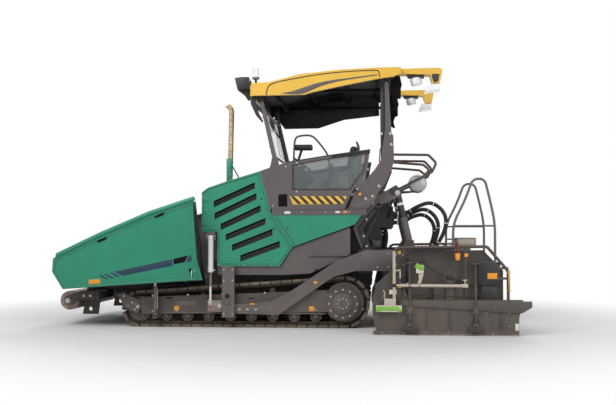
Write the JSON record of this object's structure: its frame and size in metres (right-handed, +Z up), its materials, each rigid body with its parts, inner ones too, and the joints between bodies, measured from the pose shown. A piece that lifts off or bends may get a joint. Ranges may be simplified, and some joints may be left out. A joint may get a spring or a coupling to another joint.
{
  "type": "asphalt paver",
  "caption": "Tracked asphalt paver with an open folding hopper, louvred engine hood, roofed platform and an extending screed on tow arms.",
  "frame": {"origin": "on the ground, on the centre line, midway along the machine", "axes": "+X rearwards from the hopper to the screed, +Y to the machine's right, +Z up"},
  "size_m": [6.8959, 4.14, 3.872],
  "materials": {
    "paint_green": "satin green paint",
    "paint_grey": "satin warm grey paint",
    "paint_dark": "dull dark grey paint",
    "paint_yellow": "amber yellow paint",
    "worn_steel": "worn bare steel",
    "bright_steel": "heat-tinted steel",
    "engine_iron": "cast",
    "chrome": "polished",
    "aluminium": "satin",
    "track_rubber": "dusty worn rubber",
    "hose_rubber": "black rubber",
    "glass": "clear, slightly green",
    "black_plastic": "grained",
    "seat_cover": "dark woven cover",
    "lamp_housing": "light grey"
  },
  "bodies": {
    "tractor": {"main_frame": "paint_dark", "hopper_floor": "paint_dark", "conveyors": "worn_steel", "track_left": "track_rubber", "track_right": "track_rubber", "track_frames": "paint_grey", "hood": "paint_green", "hood_top": "paint_green", "engine_block": "engine_iron", "side_tanks": "paint_grey", "side_panels": "paint_green", "rear_body": "paint_dark", "deck": "paint_grey", "cab_sides": "paint_grey", "side_glass": "glass", "console": "black_plastic", "seats": "seat_cover", "rear_pillars": "paint_grey", "exhaust": "bright_steel", "lift_brackets": "paint_grey", "rear_rails": "paint_dark", "tow_guides": "paint_grey", "auger_frame": "paint_dark"},
    "push_bar": {"push_beam": "paint_dark"},
    "push_roller_left": {"push_roller_left": "worn_steel"},
    "push_roller_right": {"push_roller_right": "worn_steel"},
    "wing_left": {"wing_left": "paint_green"},
    "wing_right": {"wing_right": "paint_green"},
    "wing_cylinder_left": {"wing_cylinder_left": "paint_dark"},
    "wing_cylinder_right": {"wing_cylinder_right": "paint_dark"},
    "wing_rod_left": {"wing_rod_left": "chrome"},
    "wing_rod_right": {"wing_rod_right": "chrome"},
    "door_left": {"door_left": "paint_green"},
    "door_right": {"door_right": "paint_green"},
    "auger_left": {"auger_left": "worn_steel"},
    "auger_right": {"auger_right": "worn_steel"},
    "roof_rear_posts": {"roof_rear_posts": "paint_grey"},
    "roof": {"roof": "paint_yellow", "roof_lamps": "lamp_housing"},
    "roof_front_posts": {"roof_front_posts": "paint_grey", "windscreen": "glass"},
    "tow_points": {"tow_blocks": "worn_steel", "hose_outer": "hose_rubber", "hose_middle": "hose_rubber", "hose_inner": "hose_rubber"},
    "screed": {"tow_arms": "paint_grey", "screed_base": "paint_dark", "screed_frame": "paint_dark", "screed_walkway": "paint_dark", "stair": "paint_dark"},
    "extension_left": {"extension_left": "paint_dark", "side_plate_left": "paint_dark", "guard_rail_left": "paint_dark", "sensor_arm_left": "aluminium"},
    "extension_right": {"extension_right": "paint_dark", "side_plate_right": "paint_dark", "guard_rail_right": "paint_dark", "sensor_arm_right": "aluminium"},
    "lift_barrels": {"lift_barrels": "paint_dark"},
    "lift_rods": {"lift_rods": "chrome"}
  },
  "joints": [
    {"name": "push_bar_sway", "type": "hinge", "parent": "tractor", "child": "push_bar", "pos_m": [-2.76, 0, 0.46], "axis": [0, 0, 1], "range_deg": [-4, 4]},
    {"name": "push_roller_left_spin", "type": "hinge", "parent": "push_bar", "child": "push_roller_left", "pos_m": [-3.305, -0.535, 0.375], "axis": [0, 1, 0], "continuous": true},
    {"name": "push_roller_right_spin", "type": "hinge", "parent": "push_bar", "child": "push_roller_right", "pos_m": [-3.305, 0.535, 0.375], "axis": [0, 1, 0], "continuous": true},
    {"name": "wing_left_raise", "type": "hinge", "parent": "tractor", "child": "wing_left", "pos_m": [-2.18, -0.8, 0.64], "axis": [-1, 0, 0], "range_deg": [0, 46]},
    {"name": "wing_cylinder_left_swing", "type": "hinge", "parent": "tractor", "child": "wing_cylinder_left", "pos_m": [-1.915, -1.29, 0.195], "axis": [-1, 0, 0], "range_deg": [0, 12.4]},
    {"name": "wing_rod_left_slide", "type": "slide", "parent": "wing_cylinder_left", "child": "wing_rod_left", "axis": [0, -0.0211, 0.9998], "range_m": [0, 0.367]},
    {"name": "door_left_open", "type": "hinge", "parent": "tractor", "child": "door_left", "pos_m": [-1.222, -1.2065, 1.7], "axis": [0, 0, -1], "range_deg": [0, 85]},
    {"name": "auger_left_spin", "type": "hinge", "parent": "tractor", "child": "auger_left", "pos_m": [1.465, -0.65, 0.42], "axis": [0, 1, 0], "continuous": true},
    {"name": "wing_right_raise", "type": "hinge", "parent": "tractor", "child": "wing_right", "pos_m": [-2.18, 0.8, 0.64], "axis": [1, 0, 0], "range_deg": [0, 46]},
    {"name": "wing_cylinder_right_swing", "type": "hinge", "parent": "tractor", "child": "wing_cylinder_right", "pos_m": [-1.915, 1.29, 0.195], "axis": [1, 0, 0], "range_deg": [0, 12.4]},
    {"name": "wing_rod_right_slide", "type": "slide", "parent": "wing_cylinder_right", "child": "wing_rod_right", "axis": [0, 0.0211, 0.9998], "range_m": [0, 0.367]},
    {"name": "door_right_open", "type": "hinge", "parent": "tractor", "child": "door_right", "pos_m": [-1.222, 1.2065, 1.7], "axis": [0, 0, 1], "range_deg": [0, 85]},
    {"name": "auger_right_spin", "type": "hinge", "parent": "tractor", "child": "auger_right", "pos_m": [1.465, 0.65, 0.42], "axis": [0, 1, 0], "continuous": true},
    {"name": "roof_fold", "type": "hinge", "parent": "tractor", "child": "roof_rear_posts", "pos_m": [1.52, 0, 2.78], "axis": [0, 1, 0], "range_deg": [0, 60]},
    {"name": "roof_level", "type": "hinge", "parent": "roof_rear_posts", "child": "roof", "pos_m": [1.5, 0, 3.64], "axis": [0, 1, 0], "range_deg": [-52, 0]},
    {"name": "roof_front_fold", "type": "hinge", "parent": "tractor", "child": "roof_front_posts", "pos_m": [-0.165, 0, 2.49], "axis": [0, 1, 0], "range_deg": [0, 48.2]},
    {"name": "tow_point_height", "type": "slide", "parent": "tractor", "child": "tow_points", "axis": [0, 0, 1], "range_m": [0, 0.1], "deforming": ["hose_outer", "hose_middle", "hose_inner"]},
    {"name": "screed_lift", "type": "hinge", "parent": "tow_points", "child": "screed", "pos_m": [-0.954, 0, 0.325], "axis": [0, -1, 0], "range_deg": [0, 6], "deforming": ["hose_outer", "hose_middle", "hose_inner"]},
    {"name": "extension_left_slide", "type": "slide", "parent": "screed", "child": "extension_left", "axis": [0, -1, 0], "range_m": [-0.67, 0.55]},
    {"name": "extension_right_slide", "type": "slide", "parent": "screed", "child": "extension_right", "axis": [0, 1, 0], "range_m": [-0.67, 0.55]},
    {"name": "lift_barrels_swing", "type": "hinge", "parent": "tractor", "child": "lift_barrels", "pos_m": [1.661, 0, 1.993], "axis": [0, 1, 0], "range_deg": [0, 5.5]},
    {"name": "lift_rods_slide", "type": "slide", "parent": "lift_barrels", "child": "lift_rods", "axis": [0.2287, 0, -0.9735], "range_m": [-0.303, 0]}
  ],
  "couplings": [
    {"joint": "wing_cylinder_left_swing", "follows": "wing_left_raise", "ratio": 0.26927},
    {"joint": "wing_rod_left_slide", "follows": "wing_left_raise", "m_per_rad": 0.45705},
    {"joint": "wing_cylinder_right_swing", "follows": "wing_right_raise", "ratio": 0.26927},
    {"joint": "wing_rod_right_slide", "follows": "wing_right_raise", "m_per_rad": 0.45705},
    {"joint": "roof_level", "follows": "roof_fold", "ratio": -0.86408},
    {"joint": "roof_front_fold", "follows": "roof_fold", "ratio": 0.80117},
    {"joint": "lift_barrels_swing", "follows": "screed_lift", "ratio": 0.89418},
    {"joint": "lift_rods_slide", "follows": "screed_lift", "m_per_rad": -2.8888}
  ]
}
